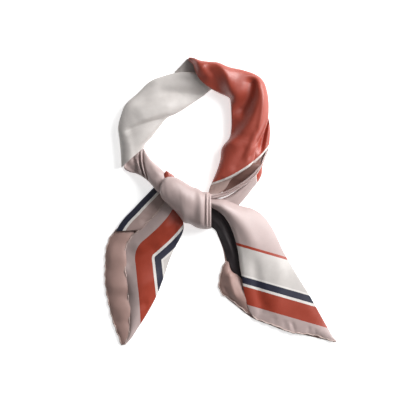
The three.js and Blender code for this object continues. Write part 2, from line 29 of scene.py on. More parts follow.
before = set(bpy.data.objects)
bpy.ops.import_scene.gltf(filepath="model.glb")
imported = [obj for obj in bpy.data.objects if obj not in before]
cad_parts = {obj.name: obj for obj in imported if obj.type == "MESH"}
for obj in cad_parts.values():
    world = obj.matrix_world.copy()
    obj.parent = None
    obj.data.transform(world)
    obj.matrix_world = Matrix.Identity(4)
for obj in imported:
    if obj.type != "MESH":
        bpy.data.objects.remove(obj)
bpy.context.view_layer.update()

MM = 0.001
SILK = 0.35  # thickness of the shell that stands for the silk
CREASE = 0.7  # radius of a pinched crest
CREST_REACH = 0.62  # reach of a pinched crest, as a share of the fold's own
FADE = 0.24  # share of a fold's length over which each end fades out
FOLD_STEPS = 20  # straight lengths in a fold's curve
FOLD_ROOM = 12  # a roll lower than this has shallower folds
PATH_POINTS = 600  # points at which the length of a path is measured
EDGE_POINTS = 160  # points on an edge that bands of colour follow
ROLL_CELLS, SHEET_CELLS = (14, 5), (9, 4)  # cells of unevenness along and across
FULL_WIDTH, FULL_HEIGHT = 22, 14  # a roll smaller than this has shallower layer lines
CROWN_POWER = 0.4  # how boxy the top of a roll is: 1 is a parabola, 0 is flat
SIDE_POINTS = 9  # points down a roll's side for each layer, and across its underside
LAYER_LINE = 1.5  # depth of the line between two folded layers
TUCK = 3.4  # how far the lowest layer of a roll is drawn in at the floor
HEM = 0.85  # radius of the hand-rolled hem
HEM_STEP = 0.8  # distance between two points along the hem
HEM_WAVE = 11.5  # mean length of the hem's puckers
HEM_LIFT = 0.2  # how far the middle of the hem stands above the cloth's edge
PUCKER_SIDE, PUCKER_UP = 0.42, 0.35  # how far the hem wanders sideways and upwards
PINCH = 0.22  # share of the hem's radius that a stitch draws in
STITCH_STEP = 5.2  # distance between two stitches of the hem
STITCH = 0.17  # half the thickness of a stitch

# Columns of the tables. Edges a and b are in plan. A roll gives its highest and lowest
# height and how high its top starts at each edge, as a share of its height. A sheet gives
# the height of each edge and how far its middle rises.
ROLL = "ax ay bx by crown under rim_a rim_b".split()
SHEET = "ax ay bx by low_a low_b billow".split()


# Curves and surfaces


def along(columns, rows, count):
    """Catmull-Rom curve through the rows, at count places evenly spaced on the line
    midway between edges a and b. Gives one array for each column."""
    values = np.array(rows, float)
    last = len(values) - 1

    def at(t):
        i = np.clip(t.astype(int), 0, last - 1)
        f = (t - i)[:, None]
        p, q, r, s = (values[np.clip(i + k, 0, last)] for k in (-1, 0, 1, 2))
        bend = 2 * p - 5 * q + 4 * r - s
        twist = 3 * q - p - 3 * r + s
        return q + 0.5 * (f * (r - p) + f**2 * bend + f**3 * twist)

    fine = np.linspace(0, last, PATH_POINTS)
    middle = at(fine)[:, 0:2] + at(fine)[:, 2:4]
    way = np.append(0, np.cumsum(np.hypot(*np.diff(middle, axis=0).T)))
    t = np.interp(np.linspace(0, way[-1], count), way, fine)
    return dict(zip(columns, at(t).T))


def smooth(t):
    """0 below 0, 1 above 1, and 3t² - 2t³ between."""
    t = np.clip(t, 0, 1)
    return t * t * (3 - 2 * t)


def nearest(px, py, x, y):
    """For each point x, y: its distance to the line px, py, its side (left is positive),
    and its share of the way along."""
    dx, dy = np.diff(px), np.diff(py)
    ux, uy = x[..., None] - px[:-1], y[..., None] - py[:-1]
    share = np.clip((ux * dx + uy * dy) / (dx * dx + dy * dy), 0, 1)
    ox, oy = ux - share * dx, uy - share * dy
    gap = np.hypot(ox, oy)
    k = gap.argmin(-1)[..., None]
    pick = [np.take_along_axis(a, k, -1)[..., 0] for a in (gap, dx * oy - dy * ox, share)]
    return pick[0], pick[1], (k[..., 0] + pick[2]) / len(dx)


def bezier(x0, y0, x1, y1, x2, y2):
    """Quadratic curve from point 0 past point 1 to point 2."""
    t = np.linspace(0, 1, FOLD_STEPS + 1)
    a, b, c = (1 - t) ** 2, 2 * t * (1 - t), t * t
    return a * x0 + b * x1 + c * x2, a * y0 + b * y1 + c * y2


def lift(folds, x, y):
    """Height that the folds add. Across a fold's curve the cloth rises as a bell, mixed
    by pinch with a sharper crest e^(-distance/reach) rounded at its top, with its own
    reach on the left and the right; along it the rise fades to nothing at both ends."""
    total = np.zeros_like(x)
    for x0, y0, x1, y1, x2, y2, rise, left, right, pinch in folds:
        away, side, way = nearest(*bezier(x0, y0, x1, y1, x2, y2), x, y)
        reach = np.where(side > 0, left, right)
        bell = np.exp(-((away / reach) ** 2))
        crest = np.exp((CREASE - np.hypot(away, CREASE)) / (CREST_REACH * reach))
        fade = smooth(np.minimum(way, 1 - way) / FADE)
        total += rise * fade * ((1 - pinch) * bell + pinch * crest)
    return total


def drift(shape, cells, seed):
    """Smooth unevenness from -1 to 1: a coarse grid of random values, its cells joined by
    cosine curves."""
    coarse = np.random.default_rng(seed).uniform(-1, 1, (cells[0] + 2, cells[1] + 2))
    for axis in (0, 1):
        t = np.linspace(0, cells[axis], shape[axis])
        i = np.minimum(t.astype(int), cells[axis] - 1)
        f = smooth(t - i)
        f = f[:, None] if axis == 0 else f[None, :]
        low, high = coarse.take(i, axis), coarse.take(i + 1, axis)
        coarse = low + (high - low) * f
    return coarse


def roll(rows, folds, count, across, layers=3, lean=0.0, unrest=0.35, *, seed):
    """A folded band as a tube. At share u along its path the ring runs over the top,
    down side b, under and up side a. Over the top, at share t of the width, the height
    goes from the rim to the crown as (4q(1-q))^0.4, where q = t^p and p puts the crest
    off the middle by lean, with the folds and a slight unevenness on top. A side is drawn
    in between each two layers and tucked under."""
    row = along(ROLL, rows, count)
    width = np.hypot(row["bx"] - row["ax"], row["by"] - row["ay"])[:, None]
    ex, ey = (row["bx"] - row["ax"])[:, None] / width, (row["by"] - row["ay"])[:, None] / width
    mx, my = (row["ax"] + row["bx"])[:, None] / 2, (row["ay"] + row["by"])[:, None] / 2
    lowest = min(r[5] for r in rows)
    under = np.maximum(row["under"], lowest)[:, None]
    tall = row["crown"][:, None] - under
    small = np.clip(np.minimum(width / FULL_WIDTH, tall / FULL_HEIGHT), 0.05, 1)

    angle = np.linspace(0, math.pi, across)[None, :]
    s_top = -np.cos(angle)
    rim = row["rim_a"][:, None] * (1 - s_top) / 2 + row["rim_b"][:, None] * (1 + s_top) / 2
    inset_top = np.zeros((count, across))
    q = ((1 + s_top) / 2) ** (math.log(0.5) / math.log((1 + lean) / 2))
    z_top = under + tall * (rim + (1 - rim) * (4 * q * (1 - q)).clip(0, 1) ** CROWN_POWER)

    down = np.linspace(0, 1, SIDE_POINTS * layers + 1)[None, 1:]
    bulge = np.sqrt(np.abs(np.sin(math.pi * layers * down)))
    slack = 1 + 0.5 * drift((count, down.size), (9, 2 * layers), seed + 5)
    inset_side = small * slack * (LAYER_LINE * (1 - bulge) + TUCK * down**3)
    z_a = under + tall * row["rim_a"][:, None] * (1 - down)
    z_b = under + tall * row["rim_b"][:, None] * (1 - down)

    floor = np.linspace(1, -1, SIDE_POINTS)[None, 1:-1]
    s = np.concatenate([s_top, 1 + 0 * down, floor, -1 + 0 * down], 1)
    tucked = inset_side[:, -1:] + np.zeros((count, floor.size))
    inset = np.concatenate([inset_top, inset_side, tucked, inset_side[:, ::-1]], 1)
    z = np.concatenate([z_top, z_b, under + np.zeros((count, floor.size)), z_a[:, ::-1]], 1)

    x = mx + ex * s * (width / 2 - inset)
    y = my + ey * s * (width / 2 - inset)
    top = slice(0, across)
    eased = (1 - s_top**8) * np.minimum(1, tall / FOLD_ROOM)
    z[:, top] += eased * lift(folds, x[:, top], y[:, top])
    z[:, top] += eased * unrest * drift((count, across), ROLL_CELLS, seed)
    z[:, top] = np.maximum(z[:, top], under + 0.2 * tall * rim)
    return np.stack([x, y, z], -1)


def sheet(rows, folds, count, across, fullness=1.0, unrest=0.3, *, seed):
    """One layer of cloth. Across it, at share s from edge a to b, the height goes evenly
    from low_a to low_b plus billow * (4s(1-s))^fullness. The folds and a slight
    unevenness come on top, fading to nothing at both edges, and no point lies below the
    lower edge."""
    row = along(SHEET, rows, count)
    s = (1 - np.cos(np.linspace(0, math.pi, across)[None, :])) / 2
    s = 0.5 * s + 0.5 * np.linspace(0, 1, across)[None, :]
    a, b = ([row[k + "x"][:, None], row[k + "y"][:, None]] for k in "ab")
    x, y = (a[k] + (b[k] - a[k]) * s for k in (0, 1))
    low_a, low_b = row["low_a"][:, None], row["low_b"][:, None]
    arch = np.maximum(0, 4 * s * (1 - s))
    z = low_a + (low_b - low_a) * s + row["billow"][:, None] * arch**fullness
    raised = lift(folds, x, y) + unrest * drift((count, across), SHEET_CELLS, seed)
    z = z + (1 - (2 * s - 1) ** 6) * raised
    return np.stack([x, y, np.maximum(z, np.minimum(low_a, low_b))], -1)


# Meshes


def mesh_object(name, points, faces, material, uv=None):
    """A mesh from points in millimetres, with faces turned so that the whole looks up or
    out. uv gives one pair for each point, in metres."""
    mesh = bpy.data.meshes.new(name)
    mesh.from_pydata(points * MM, [], faces)
    if uv is not None:
        layer = mesh.uv_layers.new(name="cloth")
        corner = np.empty(len(mesh.loops), np.int32)
        mesh.loops.foreach_get("vertex_index", corner)
        layer.data.foreach_set("uv", uv[corner].astype(np.float32).ravel())
    mesh.polygons.foreach_set("use_smooth", np.ones(len(mesh.polygons), bool))
    mesh.materials.append(material)
    mesh.update()
    obj = bpy.data.objects.new(name, mesh)
    bpy.context.scene.collection.objects.link(obj)
    return obj


def grid_faces(rows, columns, closed, flipped):
    """Quads of a grid; closed joins the last column to the first."""
    i = np.arange(rows - 1)[:, None] * columns
    j = np.arange(columns if closed else columns - 1)[None, :]
    k = (j + 1) % columns
    quads = np.stack([i + j, i + k, i + columns + k, i + columns + j], -1).reshape(-1, 4)
    return quads[:, ::-1] if flipped else quads


def cloth(name, grid, material, closed=False, measure=None):
    """A shell of silk on a grid of points. The cloth map's first number is the distance
    across, or what measure gives, and its second the distance along."""
    rows, columns = grid.shape[:2]
    flat = grid.reshape(-1, 3)
    step = grid[1, columns // 4] - grid[0, columns // 4]
    side = grid[0, columns // 4 + 1] - grid[0, columns // 4]
    flipped = np.cross(side, step)[2] < 0
    across = np.linalg.norm(np.diff(grid, axis=1, prepend=grid[:, :1]), axis=2).cumsum(1)
    length = np.linalg.norm(np.diff(grid.mean(1), axis=0, prepend=grid.mean(1)[:1]), axis=1)
    way = np.broadcast_to(length.cumsum()[:, None], (rows, columns))
    if measure is not None:
        across = measure(grid[..., 0], grid[..., 1])
    uv = np.stack([across, way], -1).reshape(-1, 2) * MM
    faces = grid_faces(rows, columns, closed, flipped)
    obj = mesh_object(name, flat, faces.tolist(), material, uv)
    shell = obj.modifiers.new("shell", "SOLIDIFY")
    shell.thickness = SILK * MM
    shell.offset = -1
    shell.use_even_offset = False
    return obj


def sideways(path):
    """Unit vectors in plan, square to a path at each of its points."""
    step = np.gradient(path, axis=0)
    run = np.maximum(np.hypot(step[:, 0], step[:, 1]), 1e-6)
    return np.stack([-step[:, 1] / run, step[:, 0] / run], -1)


def tube(path, radius, sides=10):
    """Points round a path: the ring at each point stands square to the path in plan and
    has its own radius."""
    across = np.column_stack([sideways(path), np.zeros(len(path))])
    turn = np.linspace(0, 2 * math.pi, sides, endpoint=False)
    out = np.cos(turn)[None, :, None] * across[:, None, :]
    up = np.sin(turn)[None, :, None] * np.array([0, 0, 1.0])
    return path[:, None, :] + radius[:, None, None] * (out + up)


def even_path(points, step):
    """The same line with points every step millimetres."""
    gap = np.linalg.norm(np.diff(points, axis=0), axis=1)
    way = np.append(0, np.cumsum(gap))
    places = np.linspace(0, way[-1], max(4, int(way[-1] / step)))
    return np.stack([np.interp(places, way, points[:, k]) for k in range(3)], -1), places


def rolled_hem(name, edge, material, seed):
    """A hand-rolled hem: a tube along a cloth edge, drawn in at each stitch and waved by
    a sine of uneven length, as the thread puckers it."""
    path, way = even_path(edge, HEM_STEP)
    rng = np.random.default_rng(seed)
    phase = np.cumsum(rng.uniform(0.7, 1.3, len(way))) * HEM_STEP / HEM_WAVE * 2 * math.pi
    side = sideways(path)
    path[:, :2] += side * (PUCKER_SIDE * np.sin(phase))[:, None]
    path[:, 2] = np.maximum(path[:, 2] + HEM_LIFT + PUCKER_UP * np.sin(phase * 0.83), HEM)
    pinch = np.abs(np.sin(math.pi * way / STITCH_STEP))
    ends = smooth(np.minimum(way, way[-1] - way) / 3)
    rings = tube(path, HEM * (1 - PINCH + PINCH * pinch) * (0.25 + 0.75 * ends))
    sides = rings.shape[1]
    points = np.concatenate([rings.reshape(-1, 3), path[:1], path[-1:]])
    faces = grid_faces(len(path), sides, True, True).tolist()
    last = (len(path) - 1) * sides
    head, foot = len(points) - 2, len(points) - 1
    for j in range(sides):
        k = (j + 1) % sides
        faces.append([head, k, j])
        faces.append([foot, last + j, last + k])
    return mesh_object(name, points, faces, material), path, side


def stitches(name, path, side, material, inward):
    """Slip stitches over a hem: slim rods, each square to its stretch of the hem and
    slanted a little, spaced by the stitch step."""
    way = np.append(0, np.linalg.norm(np.diff(path, axis=0), axis=1).cumsum())
    places = np.arange(2, way[-1] - 2, STITCH_STEP)
    at = np.stack([np.interp(places, way, path[:, k]) for k in range(3)], -1)
    over = np.stack([np.interp(places, way, side[:, k]) for k in (0, 1)], -1) * inward
    onward = np.stack([-over[:, 1], over[:, 0]], -1)
    lean = over * 0.9 + onward * 0.45
    bow = [(-0.2, 0.5), (0.25, 1.0), (0.8, 1.02), (1.5, 0.55), (1.9, 0.05)]
    count = len(at)
    steps = [np.column_stack([lean * d * HEM, np.full(count, h * HEM)]) for d, h in bow]
    spine = np.stack(steps, 1) + at[:, None, :] + np.array([0, 0, 0.08])
    ring = STITCH * np.array([[1, 0], [0, 1], [-1, 0], [0, -1]])
    thick = np.array([0.3, 1, 1, 1, 0.3])
    offset = np.einsum("c,rs,ns->ncrs", thick, ring, np.ones((count, 2)))
    points = np.repeat(spine[:, :, None, :], 4, 2)
    points[..., 0] += offset[..., 0] * onward[:, None, None, 0]
    points[..., 1] += offset[..., 0] * onward[:, None, None, 1]
    points[..., 2] += offset[..., 1]
    one = grid_faces(5, 4, True, False)
    shift = (np.arange(count) * 20)[:, None, None]
    quads = (one[None] + shift).reshape(-1, 4).tolist()
    caps = [[n * 20 + k for k in (3, 2, 1, 0)] for n in range(count)]
    caps += [[n * 20 + 16 + k for k in (0, 1, 2, 3)] for n in range(count)]
    return mesh_object(name, points.reshape(-1, 3), quads + caps, material)


# Materials


def linear(code):
    """An sRGB hex colour as linear RGBA."""
    parts = [int(code[i : i + 2], 16) / 255 for i in (0, 2, 4)]
    return [c / 12.92 if c <= 0.04045 else ((c + 0.055) / 1.055) ** 2.4 for c in parts] + [1]


def add(tree, kind, inputs=None, **settings):
    """Adds a shader node, sets its properties, and fills or links its inputs."""
    node = tree.nodes.new("ShaderNode" + kind)
    for key, value in settings.items():
        setattr(node, key, value)
    for socket, value in (inputs or {}).items():
        if isinstance(value, bpy.types.NodeSocket):
            tree.links.new(value, node.inputs[socket])
        else:
            node.inputs[socket].default_value = value
    return node


TWILL = 0.9 * MM  # pitch of the twill lines; the real 0.4 mm would be finer than a pixel
SLUB = 7 * MM  # length over which the sheen of the weave wanders
BAND_REACH = 0.1  # length in metres that a ramp of bands covers


def silk(name, colours, roughness=0.45, twill=0.5, sheen=0.05, gloss_level=0.5):
    """Silk twill: a fine diagonal rib in the height, a slightly uneven gloss, and colour
    either plain or in bands, as (millimetres from the edge, hex) pairs read from the
    cloth map's first number."""
    material = bpy.data.materials.new(name)
    material.use_nodes = True
    tree = material.node_tree
    shader = tree.nodes["Principled BSDF"]
    cloth_map = add(tree, "UVMap", uv_map="cloth").outputs["UV"]
    if isinstance(colours, str):
        colours = [(-1000, colours)]
    axes = add(tree, "SeparateXYZ", {0: cloth_map})
    share = add(
        tree,
        "MapRange",
        {0: axes.outputs["X"], 1: -BAND_REACH, 2: BAND_REACH, 3: 0.0, 4: 1.0},
    )
    ramp = add(tree, "ValToRGB", {0: share.outputs[0]})
    ramp.color_ramp.interpolation = "CONSTANT"
    steps = ramp.color_ramp.elements
    while len(steps) < len(colours):
        steps.new(1.0)
    while len(steps) > len(colours):
        steps.remove(steps[-1])
    for element, (start, code) in zip(steps, colours):
        element.position = min(1, max(0, start * MM / BAND_REACH / 2 + 0.5))
        element.color = linear(code)
    place = add(tree, "TexCoord").outputs["Object"]
    clouds = add(tree, "TexNoise", {"Vector": place, "Scale": 1 / SLUB, "Detail": 3.0})
    tone = add(tree, "MapRange", {0: clouds.outputs[0], 1: 0.3, 2: 0.7, 3: 0.965, 4: 1.03})
    tinted = add(
        tree,
        "Mix",
        {0: 1.0, 6: ramp.outputs[0], 7: tone.outputs[0]},
        data_type="RGBA",
        blend_type="MULTIPLY",
    )
    tree.links.new(tinted.outputs[2], shader.inputs["Base Color"])
    gloss = add(
        tree,
        "MapRange",
        {0: clouds.outputs[0], 1: 0.3, 2: 0.7, 3: roughness - 0.05, 4: roughness + 0.05},
    )
    tree.links.new(gloss.outputs[0], shader.inputs["Roughness"])
    ribs = add(
        tree,
        "TexWave",
        {"Vector": cloth_map, "Scale": 2 * math.pi / 10 / TWILL, "Distortion": 0.4},
        wave_type="BANDS",
        bands_direction="DIAGONAL",
    )
    bump = add(tree, "Bump", {"Height": ribs.outputs[1], "Distance": 0.05 * MM, "Strength": twill})
    tree.links.new(bump.outputs[0], shader.inputs["Normal"])
    shader.inputs["IOR"].default_value = 1.54
    shader.inputs["Specular IOR Level"].default_value = gloss_level
    shader.inputs["Sheen Weight"].default_value = sheen
    shader.inputs["Sheen Roughness"].default_value = 0.4
    return material


IVORY, RUST, BLUSH, NAVY, PALE = "d2ccc8", "a43c26", "bda9a6", "26273a", "e6e1dd"

# The ground of the loop's left side: undyed ivory, bright on every fold.
ivory_silk = silk("ivory silk twill", IVORY)
# The rust ground, and past a white rim the blush border near the knot, darkened there with painted
# shade.
RUST_GROUND = [(-1000, RUST), (0, PALE), (1.7, "ae968f")]
rust_silk = silk("rust silk twill", RUST_GROUND, 0.48, sheen=0.0, gloss_level=1.0)
# The outer wing by the knot: blush, with a patch of the rust ground past a thin rim.
wing_silk = silk("blush silk with a rust patch", [(-1000, RUST), (0, PALE), (1.7, BLUSH)])
# The plain blush border that the knot and its pleats are made of.
blush_silk = silk("blush silk twill", BLUSH)
# The corners: straight nested bands along the hem round an ivory and then a blush field.
BORDER = [
    (-1000, BLUSH),
    (13, RUST),
    (33, PALE),
    (36, NAVY),
    (44, PALE),
    (46.5, IVORY),
    (78, RUST),
    (81, BLUSH),
]
bordered_silk = silk("bordered silk twill", BORDER)
# The turned edge of the left corner, where only the border's last bands come round; the blush
# after them is darker and warmer than the border's, as painted shade.
TURNED = [(-1000, NAVY), (7, PALE), (9.5, "aa928d")]
turned_silk = silk("turned border of silk twill", TURNED)
# The inside of the fold by the knot: its blush silk painted plum-brown as the shade in that
# hollow.
painted_shade_blush_silk = silk("blush silk twill darkened with painted shade", "785850", roughness=0.5)
# The wrong side, where the dye comes through duller and the gloss is lower.
reverse_silk = silk("wrong side of the silk", "a88880", roughness=0.55)
# The layer inside the right corner: a dark navy print, made darker still with painted shade.
charcoal_silk = silk("charcoal silk twill", "332c2f", roughness=0.55, gloss_level=0.3)
# The turned side at the top: the ivory's wrong side, greyed with painted shade.
painted_shade_ivory_silk = silk("ivory silk, wrong side, greyed with painted shade", "b8b0ac", roughness=0.5)
# The rolled edge, where two turns of cloth show a little lighter.
hem_silk = silk("rolled silk edge", "bda9a2", roughness=0.48, twill=0.2)
# Silk sewing thread.
thread = silk("silk thread", "b59f97", roughness=0.4, twill=0.0)

# Tables of the stretches, read from the photograph and from the part's own size

LOOP_LEFT = [
    (-119.5, 40.5, -92, 64.5, 14, 0, 0.45, 0.5),
    (-120, 55, -89.5, 70, 15.5, 0, 0.42, 0.45),
    (-121.5, 72, -82, 78, 16.5, 0, 0.4, 0.42),
    (-123.3, 88, -73, 90, 17, 0, 0.45, 0.42),
    (-120, 103, -64.5, 100, 17, 0, 0.45, 0.42),
    (-114, 117, -55, 104.5, 16, 0, 0.45, 0.42),
    (-100.5, 129, -46, 109.5, 14.5, 0, 0.5, 0.42),
    (-85.5, 143.4, -37, 115.5, 13, 0, 0.55, 0.46),
    (-68, 150.5, -29, 121, 11.2, 0, 0.68, 0.5),
    (-50, 154.5, -21, 126.5, 11, 0, 0.7, 0.5),
    (-33, 154.5, -13, 133, 15, 0, 0.6, 0.5),
    (-22, 150, -6, 136, 17, 0, 0.5, 0.5),
]
# Each fold: its curve's start, its bend and its end in plan, rise, reach on the left and on
# the right, pinch
LOOP_LEFT_FOLDS = [
    (-112, 110, -66, 143, 0, 120, -2.5, 7, 9, 0.1),
    (-90, 138, -62, 154, -28, 150, 1.4, 4, 5, 0),
    (-84, 134, -40, 128, 6, 121, -1.9, 8, 12, 0),
    (-117, 81, -98, 94, -54, 102, -3, 3.4, 8, 0.2),
    (-104, 100, -86, 118, -50, 118, 1.2, 11, 10, 0),
    (-114, 78, -107, 60, -108, 42, 1.2, 5, 7, 0),
]
LOOP_TUCK = [
    (-55.8, 155.2, -53, 148, 4, 4, 0.5),
    (-50, 160.7, -48, 146, 5, 5, 0.5),
    (-45, 166, -42, 145, 7, 5, -1),
    (-40, 170.6, -35, 145, 10, 5, -2),
    (-34, 169, -29, 145, 11, 6, -2.5),
    (-27, 162, -22, 145, 11, 8, -1),
]
LOOP_RIGHT = [
    (-38.2, 172.3, -39.9, 169, 12, 0, 0.8, 0.8),
    (-33, 171.6, -33.8, 163.5, 17, 0, 0.75, 0.75),
    (-25, 168.5, -29.3, 152, 23, 0, 0.6, 0.72),
    (-16, 167, -22.5, 142.5, 26.5, 0, 0.5, 0.62),
    (-4, 166, -12, 134.5, 28, 0, 0.45, 0.5),
    (10, 160.5, -1, 129, 26.5, 0, 0.42, 0.34),
    (26, 157, 9.6, 124, 24.5, 0, 0.42, 0.34),
    (42, 151.3, 11.5, 117, 25, 0, 0.42, 0.36),
    (51.5, 142, 12, 108, 26, 0, 0.45, 0.36),
    (56, 126, 12.3, 97, 26, 0, 0.5, 0.36),
    (57, 110, 12, 86, 25, 0, 0.5, 0.36),
    (55.5, 95, 9.6, 75.5, 25, 0, 0.55, 0.38),
    (51, 83, 1, 64, 24, 0, 0.6, 0.4),
    (46, 73, -1, 50, 23, 0, 0.6, 0.44),
    (41.5, 59, -5, 37, 22, 0, 0.6, 0.5),
    (37, 44.6, -10.5, 24, 21, 0, 0.6, 0.5),
    (23.5, 34, -12.5, 19.5, 18, 0, 0.6, 0.5),
    (12.4, 26.4, -14, 15.5, 14.5, 0, 0.6, 0.5),
    (4.4, 14.4, -15.5, 11, 11, 0, 0.6, 0.5),
    (-8, 5, -22, 6, 10, 0, 0.6, 0.5),
]
LOOP_RIGHT_FOLDS = [
    (-32, 172, -24, 158, -10, 142, 2, 6, 6, 0),
    (-8, 174, 13, 154, 14, 106, 3.8, 9, 6, 0.1),
    (-22, 162, -6, 148, 2, 122, -2.4, 7, 11, 0),
    (-30, 154, -14, 138, 16, 118, -2.4, 12, 9, 0),
    (37, 152, 39, 128, 19, 96, -6.4, 6, 8, 0.1),
    (12, 130, 22, 100, 10, 68, -5, 18, 10, 0),
    (36, 158, 70, 111, 0, 61, 4.4, 11, 7, 0),
    (50, 152, 57, 96, 26, 36, 2.4, 5, 4, 0),
    (57, 104, 50, 84, 38, 62, -3.2, 3.4, 2.4, 0.1),
    (46, 86, 41, 66, 32, 46, -1.4, 3, 3, 0.1),
    (42, 88, 36, 68, 26, 48, 1, 4, 3, 0),
    (30, 70, 24, 52, 12, 34, -1, 5, 5, 0),
    (-14, 16, -4, 20, 4, 30, -1, 3, 3, 0),
]
LOOP_RIGHT_UNDER = [
    (56.6, 101, 48, 98, 3, 4, 2),
    (58.3, 93, 44, 89, 1, 3, 5),
    (59, 85, 40, 79, 0.4, 3, 6),
    (58.7, 77, 36, 69, 0.4, 3, 6),
    (58, 70, 33, 55, 0.6, 3.4, 6),
    (57.7, 65.2, 37, 40.5, 1, 4, 5),
]
LOOP_RIGHT_UNDER_FOLDS = [(57, 104, 51.5, 84, 46, 54, -6, 3.2, 4.4, 0)]
NECK_RIGHT_INNER = [
    (57.4, 66.2, 53.6, 66, 0.6, 0.6, 0.3),
    (55.2, 57.5, 48, 57, 0.6, 0.6, 0.5),
    (51.5, 49, 40.5, 49.5, 1.5, 2.5, 1),
    (48.2, 42.5, 31, 45.5, 8, 6.5, 1),
    (41, 33.5, 20, 38, 8, 7.5, 0),
    (31, 25, 8, 31, 4.5, 4.5, 0),
    (20, 18, -1, 24, 0.6, 0.6, 0),
    (6, 10, -9, 16, 0.6, 0.6, 0),
]
NECK_RIGHT_PLEAT = [
    (50.5, 46.5, 49.6, 47.6, 7, 4, 0.5, 0.5),
    (49.2, 42.6, 47.2, 43.6, 10, 5, 0.5, 0.5),
    (46.2, 37.4, 43.4, 39.4, 12.5, 5.2, 0.5, 0.5),
    (42.2, 31.6, 38.6, 34.4, 14.5, 5.2, 0.5, 0.5),
    (34.4, 24, 30.2, 27.2, 16.5, 5.2, 0.5, 0.5),
    (25.6, 17.4, 20.6, 20.6, 18, 5.2, 0.5, 0.5),
    (15, 11, 10.4, 14.9, 19, 5.2, 0.5, 0.5),
    (5, 6.2, 1.6, 11, 20, 5.2, 0.5, 0.5),
    (-6, 3.4, -7, 9.4, 21, 5.2, 0.5, 0.5),
    (-20, 2.4, -20.5, 9, 21, 5.2, 0.5, 0.5),
]
NECK_RIGHT_PLEAT_FOLDS = [(51, 48, 30.7, 11.5, -20, 3.2, -4.5, 1, 1, 0.3)]
NECK_RIGHT_OUTER = [
    (56.3, 65.5, 54, 60, 1.4, 3, 0.5),
    (53.8, 54, 48, 46, 1.4, 5, 1),
    (49.8, 42, 42, 37, 1, 6, 2),
    (48.6, 32, 36, 28.5, 0.6, 5, 4),
    (43.6, 22.5, 28.5, 21, 0.4, 4.5, 5),
    (37, 14.5, 19.5, 13.5, 0.4, 4.5, 5),
    (30.5, 6, 9.5, 7, 0.4, 5, 5),
    (24, -1.5, 1, 3.5, 0.4, 6, 4.5),
    (18, -7, -6, 1.5, 0.4, 10, 3),
    (6, -8, -16, 0, 0.4, 11, 2),
]
NECK_RIGHT_OUTER_FOLDS = [
    (50, 44, 38, 24, 8, 2, 0.9, 2.5, 3, 0.4),
    (44, 24, 34, 12, 16, -1, -0.4, 2.5, 3, 0.1),
]
KNOT = [
    (-73, 13.5, -73.1, 11.5, 24, 4, 0.7, 0.7),
    (-72.2, 17, -72.2, 8, 30, 1, 0.8, 0.7),
    (-70.6, 22, -70, 3, 32, 0, 0.84, 0.62),
    (-66, 28, -64, -3, 33, 0, 0.78, 0.5),
    (-60, 29.6, -57, -9.5, 33, 0, 0.64, 0.4),
    (-52, 28, -50, -17.5, 33, 0, 0.5, 0.32),
    (-43, 22.7, -44.5, -25, 33, 0, 0.46, 0.3),
    (-35, 18, -37, -27, 32, 0, 0.46, 0.3),
    (-27.5, 15.3, -29, -31.5, 31.5, 0, 0.45, 0.32),
    (-22, 11.5, -22, -33, 31, 0, 0.5, 0.38),
    (-16, 11.3, -16, -33, 30, 0, 0.5, 0.42),
    (-12.6, 9, -12.8, -32.5, 28.5, 0, 0.5, 0.42),
    (-11.6, 8.6, -11.9, -32.4, 27, 0, 0.5, 0.42),
]
KNOT_FOLDS = [
    (-14.6, 24, -15.4, -10, -14.6, -46, -2.2, 0.8, 0.8, 0.4),
    (-18.6, 24, -19.8, -10, -19, -46, -1.5, 1.2, 1, 0.3),
    (-16.8, 24, -17.6, -10, -16.8, -46, 0.8, 1, 1, 0.3),
    (-24, 24, -25, -10, -23.5, -46, 0.7, 2.4, 3.4, 0.1),
    (-30, 26, -33, -6, -30, -44, -0.7, 4, 4, 0),
    (-66, 34, -76, 8, -48, -24, -0.3, 2, 2.6, 0.1),
    (-66, 22, -50, 10, -24, 0, 1.2, 11, 10, 0),
    (-56, 8, -44, -6, -26, -18, -0.4, 6, 7, 0),
    (-52, 20, -40, 10, -26, 6, -0.3, 4, 4, 0),
]
KNOT_TUCK = [
    (-67.8, 34, -68.5, 22, 18, 18, 0.5),
    (-65.3, 36.4, -65, 22, 19, 19, 1),
    (-61.5, 34.3, -61, 22, 19, 19, 1),
    (-56, 30.6, -55, 22, 18, 19, 0.5),
]
NECK_LEFT = [
    (-113, 56, -99, 71, 5, 0, 0.4, 0.4),
    (-116.5, 41, -92, 62.5, 5.5, 0, 0.3, 0.5),
    (-110, 35.5, -89.3, 57.5, 8.5, 0, 0.35, 0.45),
    (-102, 33.5, -85, 51.5, 14, 0, 0.4, 0.45),
    (-94, 29.5, -79.3, 45.8, 17.5, 0, 0.45, 0.45),
    (-86.5, 23.5, -74, 41, 20, 0.5, 0.5, 0.45),
    (-79.5, 15.5, -69.3, 37, 20.5, 5, 0.5, 0.45),
    (-73, 9, -65.5, 31, 20.5, 7, 0.5, 0.45),
    (-66, 4, -59, 25, 20.5, 8, 0.5, 0.45),
]
NECK_LEFT_FOLDS = [
    (-97.5, 62, -100, 45, -88, 22, -6, 0.9, 1.2, 0.4),
    (-93, 66, -96.5, 45, -84, 19, -4.4, 0.9, 0.9, 0.4),
    (-95.5, 62, -98, 46, -87, 25, 1, 1.2, 1.2, 0.2),
    (-107, 62, -105, 44, -94, 29, -3, 1.6, 3, 0.2),
    (-103, 58, -101.5, 44, -92, 28, 1, 1.6, 1.6, 0.2),
    (-118, 46, -108, 41, -100, 33, -4, 5, 4, 0),
    (-119, 43, -108, 47, -97, 56, -5, 4, 3, 0),
    (-90, 66, -84, 42, -68, 26, 1.2, 5, 4.5, 0),
]
